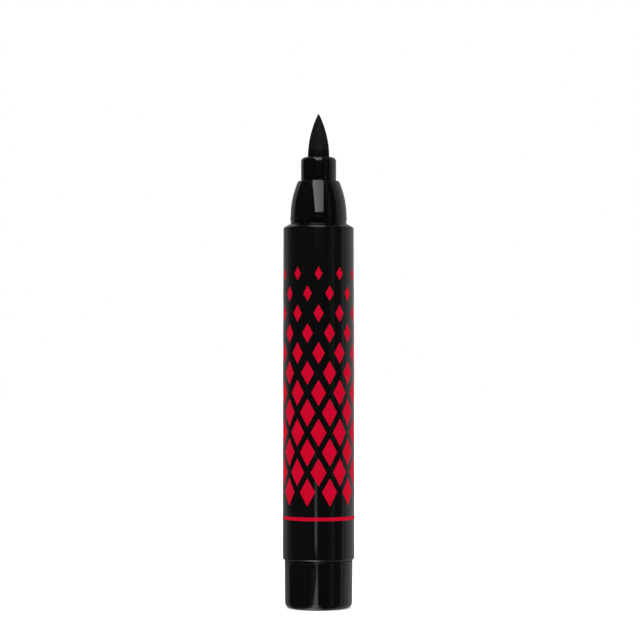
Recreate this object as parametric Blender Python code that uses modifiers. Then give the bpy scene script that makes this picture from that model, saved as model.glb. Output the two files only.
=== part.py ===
"""Felt-tip liquid eyeliner pen, out of its cap and standing on its tail plug.

Metres, +Z up. The origin is the centre of the flat face that the pen stands on, and the
pen's axis is the Z axis. Nearly every piece is turned about that axis, so its shape is a
profile of (radius, height) points, with the heights measured from the piece's own datum.
"""

import math

import bmesh
import bpy

# Fits that several pieces share
FIT_CLEARANCE = 0.0001
SEAT_GAP = 0.0003
OVERRUN = 0.0005
MERGE_DISTANCE = 0.000001

# Nib: a pointed felt rod
NIB_DIAMETER = 0.00427
NIB_POINT_LENGTH = 0.00866
NIB_SEAT_DEPTH = 0.009
NIB_HEEL_LENGTH = 0.0012
NIB_HEEL_share = 0.7

# Nib holder: the collar that shows, and the flanged shank behind it
COLLAR_WALL = 0.00127
COLLAR_HEIGHT = 0.00475
COLLAR_ROUND_HEIGHT = 0.0008
COLLAR_ROUND_share = 0.6
FLANGE_REACH = 0.0006
FLANGE_THICKNESS = 0.001
HOLDER_SHANK_WALL = 0.00105
HOLDER_SETBACK = 0.0035
AIR_GROOVE_WIDTH = 0.0006
AIR_GROOVE_DEPTH = 0.0004

# Front section: the dome, the bead that the cap snaps over, and the spigot in the barrel
DOME_HEIGHT = 0.00695
DOME_TOP_LAND = 0.0005
DOME_EDGE_ROUND = 0.00025
GUIDE_LENGTH = 0.003
FRONT_WALL = 0.0008
NECK_GROOVE_HEIGHT = 0.00068
CAP_BEAD_HEIGHT = 0.0004
CAP_BEAD_REACH = 0.0001
NECK_BAND_HEIGHT = 0.00035
SNAP_RING_HEIGHT = 0.0009
SNAP_RING_share = 0.35
SNAP_FACE_shares = (0.2, 0.45)
SKIRT_LENGTH = 0.0036
AIR_SLOT_DEPTH = 0.002
AIR_SLOT_CLEARANCE = 0.0002

# Barrel: a tapered tube with a lipped mouth, a flat land round it and a sloping shoulder
BARREL_LENGTH = 0.06657
BARREL_WALL = 0.00122
BARREL_TAPER = 0.000135
BORE_STEP = 0.000675
LIP_LENGTH = 0.0025
LIP_WIDTH = 0.000475
SHOULDER_LAND = 0.00035
SHOULDER_SLOPE_DEGREES = 30.0
SHOULDER_ROUND = 0.0003
FOOT_ROUND = 0.0005
BORE_LEAD = 0.0003
CENTRING_RIB_COUNT = 6
CENTRING_RIB_HEIGHT = 0.000475
CENTRING_RIB_WIDTH = 0.0008
CENTRING_RIB_SETBACK = 0.001

# Tail plug: a hollow stopper, stepped in from the barrel, that the pen stands on
TAIL_LENGTH = 0.0092
TAIL_STEP = 0.000365
TAIL_TAPER = 0.0001
TAIL_EDGE_ROUND = 0.0011
TAIL_RIM_BEVEL = 0.00015
TAIL_FLOOR = 0.0016
SPIGOT_LENGTH = 0.008
SPIGOT_WALL = 0.001
SPIGOT_LEAD = 0.0004
HOLLOW_TAPER = 0.0001
SEAL_RIB_HEIGHT = 0.0002
SEAL_RIB_SPAN = 0.0007
SEAL_RIB_shares = (0.62, 0.3)
WEB_THICKNESS = 0.0009
WEB_DROP = 0.0004

# Ink reservoir: a fibre rod in a film wrap, with an air tube in a groove along it
FILM_WALL = 0.00015
AIR_TUBE_DIAMETER = 0.001
AIR_TUBE_BORE = 0.0005

# How finely round shapes are drawn
TURN_STEPS = 48
TUBE_STEPS = 16
ROUND_STEPS = 4
DOME_STEPS = 9
POINT_STEPS = 12
SHARP_DEGREES = 35.0

# Radii, from the nib outwards
nib_radius = NIB_DIAMETER / 2
holder_bore_radius = nib_radius + FIT_CLEARANCE
collar_radius = holder_bore_radius + COLLAR_WALL
guide_radius = collar_radius + FIT_CLEARANCE
dome_top_radius = guide_radius + DOME_TOP_LAND
flange_radius = collar_radius + FLANGE_REACH
front_bore_radius = flange_radius + FIT_CLEARANCE
front_spigot_radius = front_bore_radius + FRONT_WALL
mouth_radius = front_spigot_radius + FIT_CLEARANCE
neck_radius = mouth_radius + LIP_WIDTH
land_radius = neck_radius + SHOULDER_LAND
bore_top_radius = mouth_radius + BORE_STEP
bore_foot_radius = bore_top_radius + BARREL_TAPER
shoulder_radius = bore_top_radius + BARREL_WALL
foot_radius = shoulder_radius + BARREL_TAPER
tail_rim_radius = foot_radius - TAIL_STEP
tail_foot_radius = tail_rim_radius - TAIL_TAPER
rib_crest_radius = bore_top_radius - CENTRING_RIB_HEIGHT
film_radius = rib_crest_radius - FIT_CLEARANCE
film_bore_radius = film_radius - FILM_WALL
core_radius = film_bore_radius - FIT_CLEARANCE
air_tube_radius = AIR_TUBE_DIAMETER / 2
air_tube_place = film_bore_radius - FIT_CLEARANCE - air_tube_radius

# Heights above the floor, from the foot upwards
spigot_top = TAIL_LENGTH + SPIGOT_LENGTH
barrel_foot = TAIL_LENGTH + SEAT_GAP
barrel_mouth = barrel_foot + BARREL_LENGTH
lip_underside = barrel_mouth - LIP_LENGTH
neck_seat = barrel_mouth + SEAT_GAP
snap_ring_top = lip_underside - SEAT_GAP
skirt_end = snap_ring_top - SNAP_RING_HEIGHT - SKIRT_LENGTH
reservoir_foot = spigot_top + SEAT_GAP
reservoir_top = skirt_end - SEAT_GAP
dome_base = neck_seat + NECK_GROOVE_HEIGHT + CAP_BEAD_HEIGHT + NECK_BAND_HEIGHT
dome_top = dome_base + DOME_HEIGHT
guide_underside = dome_top - GUIDE_LENGTH
holder_end = skirt_end + HOLDER_SETBACK
nib_seat = dome_top + COLLAR_HEIGHT
nib_heel = reservoir_top - NIB_SEAT_DEPTH + SEAT_GAP


def clear_scene():
    for obj in list(bpy.data.objects):
        bpy.data.objects.remove(obj, do_unlink=True)


def new_collection(name):
    collection = bpy.data.collections.new(name)
    bpy.context.scene.collection.children.link(collection)
    return collection


def surface(name, colour, roughness, metallic=0.0):
    """A material with the piece's own colour and gloss."""
    material = bpy.data.materials.new(name)
    material.use_nodes = True
    shader = material.node_tree.nodes["Principled BSDF"]
    shader.inputs["Base Color"].default_value = (*colour, 1.0)
    shader.inputs["Roughness"].default_value = roughness
    shader.inputs["Metallic"].default_value = metallic
    return material


def arc(centre, radius, start_degrees, end_degrees, steps):
    """Points round an arc of a profile, both ends included. 0 degrees points outwards."""
    points = []
    for step in range(steps + 1):
        angle = math.radians(start_degrees + (end_degrees - start_degrees) * step / steps)
        points.append((centre[0] + radius * math.cos(angle), centre[1] + radius * math.sin(angle)))
    return points


def lowered(points, datum):
    """The same profile, with its heights measured from the datum."""
    return [(radius, height - datum) for radius, height in points]


def stretched(points, datum, factor):
    """The same profile, with its heights above the datum multiplied by the factor."""
    return [(radius, datum + (height - datum) * factor) for radius, height in points]


def turned(name, points, is_ring, steps=TURN_STEPS):
    """A solid turned about Z. The points run down its outer side. A ring's profile is closed."""
    edges = [(index, index + 1) for index in range(len(points) - 1)]
    if is_ring:
        edges.append((len(points) - 1, 0))
    mesh = bpy.data.meshes.new(name)
    mesh.from_pydata([(radius, 0.0, height) for radius, height in points], edges, [])
    obj = bpy.data.objects.new(name, mesh)
    PARTS.objects.link(obj)
    screw = obj.modifiers.new("Turn", "SCREW")
    screw.steps = steps
    screw.render_steps = steps
    screw.use_merge_vertices = True
    screw.merge_threshold = MERGE_DISTANCE
    return obj


def box(name, size, centre):
    """A block used to cut or to add to a turned piece."""
    mesh = bpy.data.meshes.new(name)
    shape = bmesh.new()
    bmesh.ops.create_cube(shape, size=1.0)
    bmesh.ops.scale(shape, vec=size, verts=shape.verts)
    shape.to_mesh(mesh)
    shape.free()
    return helper(name, mesh, centre)


def rod(name, radius, length, centre):
    """An upright cylinder used as a cutter."""
    mesh = bpy.data.meshes.new(name)
    shape = bmesh.new()
    bmesh.ops.create_cone(
        shape, cap_ends=True, segments=TUBE_STEPS, radius1=radius, radius2=radius, depth=length
    )
    shape.to_mesh(mesh)
    shape.free()
    return helper(name, mesh, centre)


def helper(name, mesh, centre):
    obj = bpy.data.objects.new(name, mesh)
    CUTTERS.objects.link(obj)
    obj.location = centre
    obj.hide_render = True
    obj.display_type = "WIRE"
    return obj


def combine(obj, other, operation):
    modifier = obj.modifiers.new(other.name, "BOOLEAN")
    modifier.operation = operation
    modifier.object = other


def crossed(name, length, width, low, high):
    """Two blocks that cross on the axis, each of the given length and width."""
    centre = (0.0, 0.0, (low + high) / 2)
    along_x = box(name + "_x", (length, width, high - low), centre)
    along_y = box(name + "_y", (width, length, high - low), centre)
    return along_x, along_y


def place(obj, datum, material, carrier=None, off_axis=0.0):
    """Stand the piece on its datum height, give it its material and hang it on its carrier."""
    obj.parent = carrier
    carrier_height = carrier.location.z if carrier else 0.0
    obj.location = (off_axis, 0.0, datum - carrier_height)
    obj.data.materials.append(material)
    return obj


def settle(obj):
    """Keep the evaluated shape as a plain mesh, smooth apart from its real edges."""
    graph = bpy.context.evaluated_depsgraph_get()
    mesh = bpy.data.meshes.new_from_object(obj.evaluated_get(graph))
    obj.modifiers.clear()
    obj.data = mesh
    mesh.shade_smooth()
    mesh.set_sharp_from_angle(angle=math.radians(SHARP_DEGREES))


def bore_radius_at(height):
    """The barrel's bore widens evenly from the lip down to the foot."""
    share = (lip_underside - height) / (lip_underside - barrel_foot)
    return bore_top_radius + BARREL_TAPER * share


def seal_rib(height, root):
    """A half-round rib round the plug's spigot, from its upper edge to its lower edge."""
    half = SEAL_RIB_SPAN / 2
    crest = root + SEAL_RIB_HEIGHT
    return [(root, height + half), (crest, height + half / 2), (crest, height - half / 2), (root, height - half)]


def make_tail_plug(material):
    spigot_radius = bore_radius_at(spigot_top) - FIT_CLEARANCE - SEAL_RIB_HEIGHT
    hollow_radius = spigot_radius - SPIGOT_WALL
    edge = min(TAIL_EDGE_ROUND, TAIL_FLOOR)
    points = [
        (0.0, TAIL_FLOOR),
        (hollow_radius - HOLLOW_TAPER, TAIL_FLOOR),
        (hollow_radius, spigot_top),
        (spigot_radius - SPIGOT_LEAD, spigot_top),
        (spigot_radius, spigot_top - SPIGOT_LEAD),
    ]
    for share in SEAL_RIB_shares:
        points += seal_rib(TAIL_LENGTH + SPIGOT_LENGTH * share, spigot_radius)
    points += [
        (spigot_radius, TAIL_LENGTH),
        (tail_rim_radius - TAIL_RIM_BEVEL, TAIL_LENGTH),
        (tail_rim_radius, TAIL_LENGTH - TAIL_RIM_BEVEL),
    ]
    points += arc((tail_foot_radius - edge, edge), edge, 0.0, -90.0, ROUND_STEPS)
    points.append((0.0, 0.0))
    plug = turned("tail_plug", points, is_ring=False)
    reach = 2 * hollow_radius + SPIGOT_WALL
    for web in crossed("tail_web", reach, WEB_THICKNESS, TAIL_FLOOR / 2, spigot_top - WEB_DROP):
        combine(plug, web, "UNION")
    return place(plug, 0.0, material)


def shoulder_points():
    """The sloping top of the barrel and the round that turns it into the wall."""
    turn = 90.0 - SHOULDER_SLOPE_DEGREES
    slope = math.tan(math.radians(SHOULDER_SLOPE_DEGREES))
    rounding = min(SHOULDER_ROUND, shoulder_radius - land_radius)
    centre_radius = shoulder_radius - rounding
    slope_end = centre_radius + rounding * math.cos(math.radians(turn))
    drop = (slope_end - land_radius) * slope + rounding * math.sin(math.radians(turn))
    return arc((centre_radius, barrel_mouth - drop), rounding, turn, 0.0, ROUND_STEPS)


def make_barrel(material, carrier):
    edge = min(FOOT_ROUND, BARREL_WALL / 2)
    lead = min(BORE_LEAD, BARREL_WALL / 4)
    points = [(mouth_radius, barrel_mouth), (land_radius, barrel_mouth)]
    points += shoulder_points()
    points += arc((foot_radius - edge, barrel_foot + edge), edge, 0.0, -90.0, ROUND_STEPS)
    points += [
        (bore_foot_radius + lead, barrel_foot),
        (bore_foot_radius, barrel_foot + lead),
        (bore_top_radius, lip_underside),
        (mouth_radius, lip_underside),
    ]
    barrel = turned("barrel", lowered(points, barrel_foot), is_ring=True)
    rib_root = (bore_foot_radius + shoulder_radius) / 2
    rib_foot = reservoir_foot + CENTRING_RIB_SETBACK
    size = (rib_root - rib_crest_radius, CENTRING_RIB_WIDTH, reservoir_top - rib_foot)
    middle = (rib_root + rib_crest_radius) / 2
    for index in range(CENTRING_RIB_COUNT):
        angle = math.tau * (index + 0.5) / CENTRING_RIB_COUNT
        centre = (middle * math.cos(angle), middle * math.sin(angle), (reservoir_top + rib_foot) / 2)
        rib = box(f"centring_rib_{index + 1}", size, centre)
        rib.rotation_euler.z = angle
        combine(barrel, rib, "UNION")
    return place(barrel, barrel_foot, material, carrier)


def dome_points():
    """The dome, upright where it meets the neck, with a small round at its flat top."""
    inset = neck_radius - dome_top_radius
    curve = (DOME_HEIGHT ** 2 + inset ** 2) / (2 * inset)
    centre_radius = neck_radius - curve
    edge = min(DOME_EDGE_ROUND, DOME_TOP_LAND / 2)
    edge_height = DOME_HEIGHT - edge
    edge_offset = math.sqrt((curve - edge) ** 2 - edge_height ** 2)
    meet = math.degrees(math.atan2(edge_height, edge_offset))
    points = arc(
        (centre_radius + edge_offset, dome_base + edge_height), edge, 90.0, meet, ROUND_STEPS
    )
    return points + arc((centre_radius, dome_base), curve, meet, 0.0, DOME_STEPS)[1:]


def cap_bead_points():
    """The low bead between the dome and the neck groove."""
    top = dome_base - NECK_BAND_HEIGHT
    foot = top - CAP_BEAD_HEIGHT
    crest = neck_radius + CAP_BEAD_REACH
    quarter = CAP_BEAD_HEIGHT / 4
    return [(neck_radius, top), (crest, top - quarter), (crest, foot + quarter), (neck_radius, foot)]


def snap_ring_points():
    """The ring that clicks under the barrel's lip: steep above, sloping below."""
    reach = mouth_radius + BORE_STEP * SNAP_RING_share
    foot = snap_ring_top - SNAP_RING_HEIGHT
    upper, lower = (snap_ring_top - SNAP_RING_HEIGHT * share for share in SNAP_FACE_shares)
    root = front_spigot_radius
    return [(root, snap_ring_top), (reach, upper), (reach, lower), (root, foot)]


def make_front_section(material, carrier):
    lead = FRONT_WALL / 4
    points = [(guide_radius, dome_top)]
    points += dome_points()
    points += cap_bead_points()
    points += [(neck_radius, neck_seat), (front_spigot_radius, neck_seat)]
    points += snap_ring_points()
    points += [
        (front_spigot_radius, skirt_end + lead),
        (front_spigot_radius - lead, skirt_end),
        (front_bore_radius, skirt_end),
        (front_bore_radius, guide_underside),
        (guide_radius, guide_underside),
    ]
    front = turned("front_section", lowered(points, neck_seat), is_ring=True)
    width = AIR_TUBE_DIAMETER + 2 * AIR_SLOT_CLEARANCE
    length = 2 * (front_spigot_radius + OVERRUN)
    for slot in crossed("air_slot", length, width, skirt_end - OVERRUN, skirt_end + AIR_SLOT_DEPTH):
        combine(front, slot, "DIFFERENCE")
    return place(front, neck_seat, material, carrier)


def collar_round_points():
    """The round at the collar's top, taller than it is wide."""
    reach = COLLAR_WALL * COLLAR_ROUND_share
    foot = nib_seat - COLLAR_ROUND_HEIGHT
    quarter = arc((collar_radius - reach, foot), reach, 90.0, 0.0, ROUND_STEPS)
    return stretched(quarter, foot, COLLAR_ROUND_HEIGHT / reach)


def make_nib_holder(material, carrier):
    shank_radius = holder_bore_radius + HOLDER_SHANK_WALL
    flange_top = guide_underside - SEAT_GAP
    flange_foot = flange_top - FLANGE_THICKNESS
    points = [(holder_bore_radius, nib_seat)]
    points += collar_round_points()
    points += [
        (collar_radius, flange_top),
        (flange_radius, flange_top),
        (flange_radius, flange_foot),
        (shank_radius, flange_foot),
        (shank_radius, holder_end),
        (holder_bore_radius, holder_end),
    ]
    holder = turned("nib_holder", lowered(points, dome_top), is_ring=True)
    length = 2 * (holder_bore_radius + AIR_GROOVE_DEPTH)
    low = holder_end - OVERRUN
    high = nib_seat + OVERRUN
    for groove in crossed("air_groove", length, AIR_GROOVE_WIDTH, low, high):
        combine(holder, groove, "DIFFERENCE")
    return place(holder, dome_top, material, carrier)


def make_nib(material, carrier):
    """The point is a tangent ogive: an arc that leaves the rod upright and meets the axis."""
    curve = (NIB_POINT_LENGTH ** 2 + nib_radius ** 2) / (2 * nib_radius)
    tilt = math.degrees(math.asin(NIB_POINT_LENGTH / curve))
    point = arc((nib_radius - curve, 0.0), curve, tilt, 0.0, POINT_STEPS)
    heel = nib_heel - nib_seat
    points = [(0.0, NIB_POINT_LENGTH)] + point[1:]
    points += [
        (nib_radius, heel + NIB_HEEL_LENGTH),
        (nib_radius * NIB_HEEL_share, heel),
        (0.0, heel),
    ]
    nib = turned("nib", points, is_ring=False)
    return place(nib, nib_seat, material, carrier)


def make_reservoir_core(material, carrier):
    hole_radius = nib_radius + FIT_CLEARANCE
    hole_foot = reservoir_top - NIB_SEAT_DEPTH
    points = [
        (0.0, hole_foot),
        (hole_radius, hole_foot),
        (hole_radius, reservoir_top),
        (core_radius, reservoir_top),
        (core_radius, reservoir_foot),
        (0.0, reservoir_foot),
    ]
    core = turned("reservoir_core", lowered(points, reservoir_foot), is_ring=False)
    length = reservoir_top - reservoir_foot + 2 * OVERRUN
    centre = (air_tube_place, 0.0, (reservoir_top + reservoir_foot) / 2)
    groove = rod("air_tube_groove", air_tube_radius + FIT_CLEARANCE, length, centre)
    combine(core, groove, "DIFFERENCE")
    return place(core, reservoir_foot, material, carrier)


def make_reservoir_film(material, carrier):
    points = [
        (film_bore_radius, reservoir_top),
        (film_radius, reservoir_top),
        (film_radius, reservoir_foot),
        (film_bore_radius, reservoir_foot),
    ]
    film = turned("reservoir_film", lowered(points, reservoir_foot), is_ring=True)
    return place(film, reservoir_foot, material, carrier)


def make_air_tube(material, carrier):
    """It reaches up into one of the front section's slots, where its end stays open."""
    bore = AIR_TUBE_BORE / 2
    top = skirt_end + AIR_SLOT_DEPTH - SEAT_GAP
    points = [
        (bore, top),
        (air_tube_radius, top),
        (air_tube_radius, reservoir_foot),
        (bore, reservoir_foot),
    ]
    tube = turned("air_tube", lowered(points, reservoir_foot), is_ring=True, steps=TUBE_STEPS)
    return place(tube, reservoir_foot, material, carrier, off_axis=air_tube_place)


def make_pen_slide():
    """The empty that carries everything which lifts off the tail plug along the axis."""
    slide = bpy.data.objects.new("pen_slide", None)
    PARTS.objects.link(slide)
    slide.location = (0.0, 0.0, barrel_foot)
    slide.empty_display_size = foot_radius
    return slide


def make_eyeliner():
    black = (0.012, 0.012, 0.013)
    slide = make_pen_slide()
    pieces = [
        make_tail_plug(surface("tail_gloss_black", black, 0.16)),
        make_barrel(surface("barrel_gloss_black", black, 0.15), slide),
        make_front_section(surface("front_gloss_black", black, 0.15), slide),
        make_nib_holder(surface("holder_gloss_black", black, 0.2), slide),
        make_nib(surface("inked_felt", (0.02, 0.02, 0.02), 0.9), slide),
        make_reservoir_core(surface("inked_fibre", (0.025, 0.024, 0.026), 0.95), slide),
        make_reservoir_film(surface("wrap_film", (0.7, 0.72, 0.74), 0.3), slide),
        make_air_tube(surface("tube_natural", (0.82, 0.83, 0.82), 0.4), slide),
    ]
    bpy.context.view_layer.update()
    for piece in pieces:
        settle(piece)


clear_scene()
PARTS = new_collection("liquid_eyeliner")
CUTTERS = new_collection("cutters")
make_eyeliner()
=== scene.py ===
# %% [markdown]
# # A felt-tip eyeliner pen, standing on its tail
#
# The real object is a short, stout marker: a gloss black barrel, a press-in tail plug, a domed
# front with a collar, and a pointed felt nib. Inside it are a rod of ink-soaked fibre in a film
# wrap and a thin air tube. The CAD model already has every piece in its place. This notebook
# dresses it for a product picture: finer shapes, finishes, a printed pattern, light, a camera.

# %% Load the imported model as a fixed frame
import math

import bmesh
import bpy
from mathutils import Matrix, Vector


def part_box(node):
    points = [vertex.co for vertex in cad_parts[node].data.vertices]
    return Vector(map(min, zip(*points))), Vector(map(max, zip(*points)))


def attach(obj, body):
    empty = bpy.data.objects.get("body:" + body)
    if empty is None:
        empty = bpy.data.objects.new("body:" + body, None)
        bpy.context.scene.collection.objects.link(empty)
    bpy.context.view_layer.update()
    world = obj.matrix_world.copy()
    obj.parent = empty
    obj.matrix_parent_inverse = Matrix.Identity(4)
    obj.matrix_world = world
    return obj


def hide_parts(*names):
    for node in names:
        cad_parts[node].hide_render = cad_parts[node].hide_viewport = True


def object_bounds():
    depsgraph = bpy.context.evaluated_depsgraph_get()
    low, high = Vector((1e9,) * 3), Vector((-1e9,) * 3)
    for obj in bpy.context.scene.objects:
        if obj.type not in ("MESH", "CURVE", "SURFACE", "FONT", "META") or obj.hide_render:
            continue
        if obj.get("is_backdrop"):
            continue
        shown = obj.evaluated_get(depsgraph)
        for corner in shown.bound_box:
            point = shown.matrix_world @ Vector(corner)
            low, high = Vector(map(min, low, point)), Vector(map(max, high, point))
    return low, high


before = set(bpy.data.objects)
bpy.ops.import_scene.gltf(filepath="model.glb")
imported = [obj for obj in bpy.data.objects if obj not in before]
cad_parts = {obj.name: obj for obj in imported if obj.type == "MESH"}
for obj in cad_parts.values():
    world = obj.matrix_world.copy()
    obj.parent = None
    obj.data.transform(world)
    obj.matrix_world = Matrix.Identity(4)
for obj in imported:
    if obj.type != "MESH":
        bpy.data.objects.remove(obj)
cad_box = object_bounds()

# %% [markdown]
# ## Small tools for node trees
#
# Materials and Geometry Nodes are both graphs. Wiring them by hand takes three lines a node, so
# one small function adds a node, sets it and wires its inputs, and others do the sums that come
# back again and again. The last one starts a geometry tree with named inputs, so that the same
# recipe can be run again with other sizes.

# %% Add a node and do a sum
MM = 0.001


def add(tree, kind, wires=None, **settings):
    """Add a node. wires gives its inputs, each a value or another node's output."""
    node = tree.nodes.new(kind)
    for setting, value in settings.items():
        setattr(node, setting, value)
    for socket, value in (wires or {}).items():
        if isinstance(value, bpy.types.NodeSocket):
            tree.links.new(value, node.inputs[socket])
        else:
            node.inputs[socket].default_value = value
    return node


def follow(kind, wires, **settings):
    """Add a node to the tree that its wires come from."""
    tree = next(value.id_data for value in wires.values() if isinstance(value, bpy.types.NodeSocket))
    return add(tree, kind, wires, **settings)


def out_of(kind, wires, **settings):
    """The first output of such a node."""
    return follow(kind, wires, **settings).outputs[0]


def geo(kind, wires, **settings):
    """The first output of such a Geometry Node."""
    return out_of("GeometryNode" + kind, wires, **settings)


def ask(tree, what):
    """What a geometry tree knows of each point or edge, such as its Index or Position."""
    return add(tree, "GeometryNodeInput" + what).outputs[0]


def sum_of(operation, first, second=0.0):
    """The output of a Math node."""
    return out_of("ShaderNodeMath", {0: first, 1: second}, operation=operation)


def plus(first, second):
    return sum_of("ADD", first, second)


def minus(first, second):
    return sum_of("SUBTRACT", first, second)


def times(first, second):
    return sum_of("MULTIPLY", first, second)


def rescale(value, old, new):
    """Carry a value from one range of (low, high) to another, and hold it there."""
    wires = {"Value": value, "From Min": old[0], "From Max": old[1], "To Min": new[0], "To Max": new[1]}
    return out_of("ShaderNodeMapRange", wires)


# %% Take places apart, put them together, start a tree
SHARP_ANGLE = math.radians(32.0)
SOCKETS = {int: "Int", float: "Float", tuple: "Vector", type(None): "Material"}


def xyz(x, y, z=0.0):
    """A place from three numbers."""
    return out_of("ShaderNodeCombineXYZ", {"X": x, "Y": y, "Z": z})


def parts_of(place):
    """The X, Y and Z of a place."""
    return follow("ShaderNodeSeparateXYZ", {0: place}).outputs


def round_axis(angle, radius, height):
    """The place at this angle and radius round the pen's axis."""
    return xyz(times(sum_of("COSINE", angle), radius), times(sum_of("SINE", angle), radius), height)


def weld(shape, distance):
    """Merge the points of a shape that lie this close."""
    return geo("MergeByDistance", {"Geometry": shape, "Distance": distance})


def join(first, second):
    """Two shapes as one."""
    both = follow("GeometryNodeJoinGeometry", {0: first})
    first.id_data.links.new(second, both.inputs[0])
    return both.outputs[0]


def shift(shape, chosen, direction, distance):
    """Move the chosen points of a shape along a direction."""
    offset = out_of("ShaderNodeVectorMath", {0: direction, "Scale": distance}, operation="SCALE")
    return geo("SetPosition", {"Geometry": shape, "Selection": chosen, "Offset": offset})


def new_tree(name, inputs):
    """A geometry tree with inputs {name: value}, and the sockets that read them.

    Every tree also asks how sharp an edge must be to stay crisp, and for a material."""
    tree = bpy.data.node_groups.new(name, "GeometryNodeTree")
    tree.interface.new_socket("Geometry", in_out="INPUT", socket_type="NodeSocketGeometry")
    for label, value in {**inputs, "Sharp Angle": SHARP_ANGLE, "Material": None}.items():
        kind = "NodeSocket" + SOCKETS[type(value)]
        socket = tree.interface.new_socket(label, in_out="INPUT", socket_type=kind)
        if value is not None:
            socket.default_value = value
    tree.interface.new_socket("Geometry", in_out="OUTPUT", socket_type="NodeSocketGeometry")
    return tree, add(tree, "NodeGroupInput").outputs


# %% [markdown]
# ## Finishes
#
# Nearly all of this pen is black, so its surfaces are told apart by how they shine. Each finish
# starts from the same parts: noise that reads the piece's own coordinates in metres, a range
# that turns the noise into a roughness or a colour, and a bump of a few thousandths of a
# millimetre. Noise with unequal scales gives streaks, as moulding and grinding leave.

# %% Parts that every finish uses
def new_finish(name, **sockets):
    """A material and its tree, with the values that are the same all over it."""
    material = bpy.data.materials.new(name)
    material.use_nodes = True
    shader = material.node_tree.nodes["Principled BSDF"]
    for label, value in sockets.items():
        shader.inputs[label.replace("_", " ")].default_value = value
    return material, material.node_tree


def noise(tree, across, along, detail=2.0):
    """Noise with so many features a metre across the pen, and along it."""
    place = add(tree, "ShaderNodeTexCoord").outputs["Object"]
    scaled = out_of("ShaderNodeMapping", {"Vector": place, "Scale": (across, across, along)})
    texture = {"Vector": scaled, "Scale": 1.0, "Detail": detail}
    return out_of("ShaderNodeTexNoise", texture)


def spread(value, low=0.0, high=1.0):
    """Noise keeps near a half, so its middle part is spread over low to high."""
    return rescale(value, (0.3, 0.7), (low, high))


def blend(factor, first, second):
    """A colour between two colours."""
    wires = {0: factor, 6: (*first, 1.0), 7: (*second, 1.0)}
    return follow("ShaderNodeMix", wires, data_type="RGBA").outputs[2]


def dress(material, colour, roughness, relief, depth):
    """Wire a colour, a roughness, and a bump that is up to depth metres deep."""
    tree = material.node_tree
    bump = out_of("ShaderNodeBump", {"Height": relief, "Distance": depth, "Strength": 1.0})
    for label, wire in (("Base Color", colour), ("Roughness", roughness), ("Normal", bump)):
        tree.links.new(wire, tree.nodes["Principled BSDF"].inputs[label])
    return material


# %% [markdown]
# ### Gloss black plastic
#
# The barrel, plug, front and collar come out of polished moulds. The plastic is almost a mirror,
# but a real one is never quite flat: it has a slow ripple that bends the edges of a reflection,
# faint lengthways drag marks from leaving the mould, and a slight haze that comes and goes.

# %% Gloss black plastic, one for each moulded piece
def moulded_gloss(name, black, roughness, ripple):
    """Polished black plastic. ripple is the depth of its slow waves, in metres."""
    material, tree = new_finish(name, IOR=1.49)
    haze = spread(noise(tree, 350.0, 200.0), 0.8 * roughness, 1.15 * roughness)
    drag = spread(noise(tree, 5000.0, 60.0, 1.0), 0.0, 0.25 * roughness)
    cloud = blend(noise(tree, 500.0, 300.0), black, tuple(1.4 * part for part in black))
    return dress(material, cloud, plus(haze, drag), noise(tree, 170.0, 90.0, 1.0), ripple)


barrel_gloss = moulded_gloss("barrel gloss black", (0.0022, 0.0022, 0.0024), 0.085, 0.0000035)
plug_gloss = moulded_gloss("plug gloss black", (0.0020, 0.0020, 0.0022), 0.045, 0.000003)
front_gloss = moulded_gloss("front gloss black", (0.0015, 0.0015, 0.0016), 0.04, 0.000003)
collar_gloss = moulded_gloss("collar gloss black", (0.0015, 0.0015, 0.0016), 0.045, 0.000003)
print("plastics:", [m.name for m in (barrel_gloss, plug_gloss, front_gloss, collar_gloss)])

# %% [markdown]
# ### Printed ink
#
# The red is screen printed: an opaque film with much less shine than the plastic under it, and a
# fine grain from the mesh of the screen. The colour is a little darker where the film is thinner.

# %% Printed ink
THICK_INK, THIN_INK = (0.46, 0.0006, 0.0175), (0.42, 0.0005, 0.0155)


def printed_red():
    """Opaque red screen ink."""
    material, tree = new_finish("printed red", IOR=1.45, Specular_IOR_Level=0.02)
    grain = noise(tree, 9000.0, 9000.0, 1.0)
    film = spread(noise(tree, 700.0, 350.0))
    red = blend(film, THICK_INK, THIN_INK)
    return dress(material, red, spread(grain, 0.38, 0.52), grain, 0.0000015)


ink_red = printed_red()
print("print:", ink_red.name)

# %% [markdown]
# ### Felt, fibre, film and tube
#
# The nib is a bundle of polyester fibres stuck together with resin and ground to a point. Dry
# felt is matte, but this one is wet with ink: it scatters hardly any light. Its colour is made
# darker towards the root, over the last millimetre or so above the collar. The rod inside is
# the same fibre, packed loosely. The film round it and the air tube are plain extruded plastics,
# a little milky.

# %% Felt and fibre
ROOT_LINE, ROOT_FADE, EDGE_WANDER = 91.0 * MM, (0.1 * MM, 0.5 * MM), 0.6 * MM


def inked_fibres(name, dark, light, roughness, streaks, root_factor=1.0):
    """Black fibres that run along the pen, streaks of them in a metre across.

    Below the root line they are darker, by the factor root_factor."""
    material, tree = new_finish(name, IOR=1.3, Specular_IOR_Level=0.15)
    fibres = noise(tree, streaks, 0.06 * streaks, 3.0)
    blotches = noise(tree, 0.1 * streaks, 0.05 * streaks)
    mixed = times(spread(fibres, 0.2, 1.0), spread(blotches, 0.5, 1.0))
    height = parts_of(add(tree, "ShaderNodeTexCoord").outputs["Object"])["Z"]
    # The colour is made darker below a ragged line just above the collar, towards the nib's root.
    edge = plus(height, times(blotches, EDGE_WANDER))
    root_darkening = rescale(edge, [ROOT_LINE + part for part in ROOT_FADE], (root_factor, 1.0))
    black = blend(times(mixed, root_darkening), dark, light)
    return dress(material, black, spread(fibres, 0.85 * roughness, roughness), fibres, 0.00003)


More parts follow.
